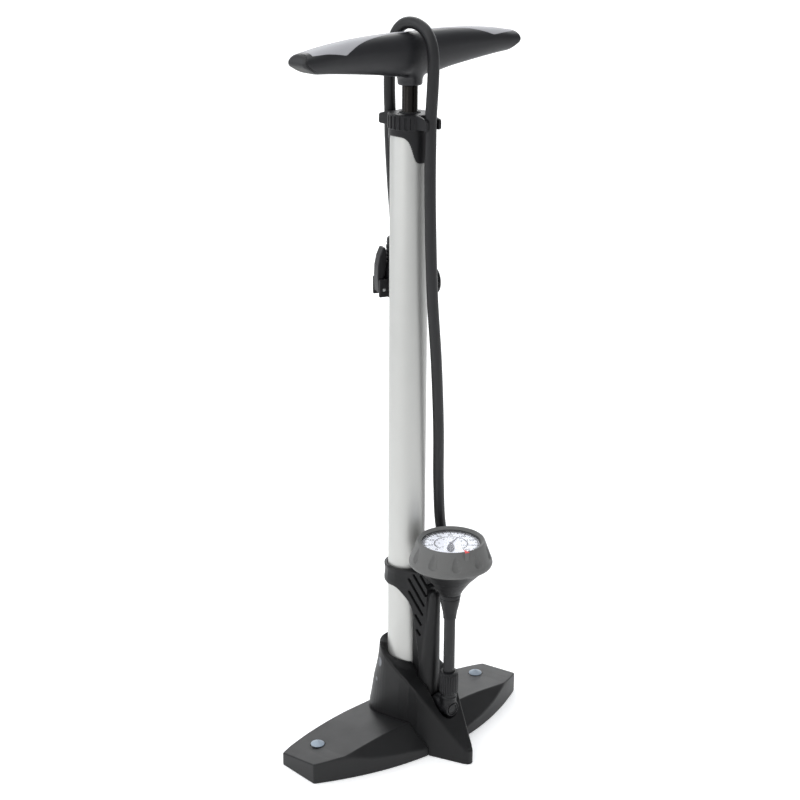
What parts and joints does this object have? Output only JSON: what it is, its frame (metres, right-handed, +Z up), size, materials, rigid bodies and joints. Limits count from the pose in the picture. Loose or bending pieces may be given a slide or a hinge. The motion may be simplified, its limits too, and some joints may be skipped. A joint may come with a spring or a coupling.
{
  "type": "floor bike pump",
  "caption": "Floor-standing bicycle pump with a T handle, boat-shaped foot bar, raised pressure gauge with a rotating marker ring, and a hose with lever head stowed over the handle.",
  "frame": {"origin": "floor level, on the barrel axis", "axes": "+Z up along the barrel; +X along the foot bar and the handle; -Y towards the toe and the gauge"},
  "size_m": [0.2696, 0.1455, 0.6945],
  "materials": {
    "base_plastic": "black moulded nylon, fine spark texture",
    "trim_plastic": "black moulded plastic, satin",
    "handle_plastic": "black satin moulded plastic",
    "handle_inlay": "light grey soft-touch inlay",
    "handle_end": "dark grey moulded end",
    "bezel_grey": "mid grey moulded plastic",
    "marker_red": "red marker tip on a grey post",
    "foot_rubber": "blue-grey rubber",
    "barrel_alloy": "fine bead-blasted satin",
    "rod_steel": "dark ground steel",
    "fastener_steel": "zinc-plated steel",
    "brass_part": "turned brass",
    "seal_rubber": "black nitrile rubber",
    "hose_rubber": "black smooth rubber hose",
    "inner_plastic": "natural acetal",
    "dial_white": "white printed dial with plain tick marks",
    "needle_grey": "grey painted needle",
    "lens_clear": "clear lens"
  },
  "bodies": {
    "base": {"barrel": "barrel_alloy", "barrel_cap": "trim_plastic", "barrel_end_plug": "trim_plastic", "barrel_oring": "seal_rubber", "base_screw_1": "fastener_steel", "base_screw_2": "fastener_steel", "base_screw_3": "fastener_steel", "base_screw_4": "fastener_steel", "base_tower": "base_plastic", "bourdon_tube": "brass_part", "check_valve_spring": "fastener_steel", "delivery_hose": "hose_rubber", "elbow_fitting": "trim_plastic", "elbow_oring": "seal_rubber", "feed_hose": "hose_rubber", "foot_bar": "base_plastic", "gauge_bracket": "base_plastic", "gauge_dial": "dial_white", "gauge_housing": "base_plastic", "gauge_lens": "lens_clear", "head_body": "trim_plastic", "hose_barb": "brass_part", "hose_ferrule": "trim_plastic", "hose_nut": "trim_plastic", "lever_pin": "fastener_steel", "movement_plate": "brass_part", "nozzle_cap": "trim_plastic", "plug_screw_1": "fastener_steel", "plug_screw_2": "fastener_steel", "plug_screw_3": "fastener_steel", "rod_bush": "inner_plastic", "rod_wiper": "seal_rubber", "rubber_foot_left": "foot_rubber", "rubber_foot_right": "foot_rubber", "strain_relief": "trim_plastic", "top_out_bumper": "seal_rubber", "valve_retainer": "brass_part", "valve_seal": "seal_rubber"},
    "handle": {"piston_rod": "rod_steel", "piston": "inner_plastic", "piston_cup_seal": "seal_rubber", "piston_bolt": "fastener_steel", "handle_body": "handle_plastic", "handle_inlay_left": "handle_inlay", "handle_inlay_right": "handle_inlay", "handle_end_cap_left": "handle_end", "handle_end_cap_right": "handle_end", "handle_roll_pin": "fastener_steel"},
    "bezel": {"gauge_bezel": "bezel_grey", "bezel_marker": "marker_red"},
    "needle": {"gauge_needle": "needle_grey"},
    "sector": {"sector_gear": "brass_part"},
    "lever": {"head_lever": "trim_plastic"},
    "plunger": {"head_plunger": "trim_plastic"},
    "poppet": {"check_valve_poppet": "inner_plastic"}
  },
  "joints": [
    {"name": "handle_slide", "type": "slide", "parent": "base", "child": "handle", "axis": [0, 0, 1], "range_m": [0, 0.465], "deforming": ["delivery_hose"]},
    {"name": "bezel_turn", "type": "hinge", "parent": "base", "child": "bezel", "pos_m": [0, -0.0611, 0.2], "axis": [0, 0, 1], "continuous": true},
    {"name": "needle_turn", "type": "hinge", "parent": "base", "child": "needle", "pos_m": [0, -0.0611, 0.2], "axis": [0, 0, -1], "range_deg": [0, 270]},
    {"name": "sector_swing", "type": "hinge", "parent": "base", "child": "sector", "pos_m": [0.0096, -0.0611, 0.2], "axis": [0, 0, 1], "range_deg": [0, 27]},
    {"name": "lever_swing", "type": "hinge", "parent": "base", "child": "lever", "pos_m": [-0.00252, 0.03539, 0.446], "axis": [-0.3419, -0.9397, 0], "range_deg": [0, 90]},
    {"name": "plunger_slide", "type": "slide", "parent": "base", "child": "plunger", "axis": [0.9397, -0.3419, 0], "range_m": [0, 0.003]},
    {"name": "check_valve_slide", "type": "slide", "parent": "base", "child": "poppet", "axis": [0, 0, -1], "range_m": [0, 0.0015], "stiffness_N_per_m": 60, "deforming": ["check_valve_spring"]}
  ],
  "couplings": [
    {"joint": "sector_swing", "follows": "needle_turn", "ratio": 0.1},
    {"joint": "plunger_slide", "follows": "lever_swing", "m_per_rad": 0.0019}
  ]
}
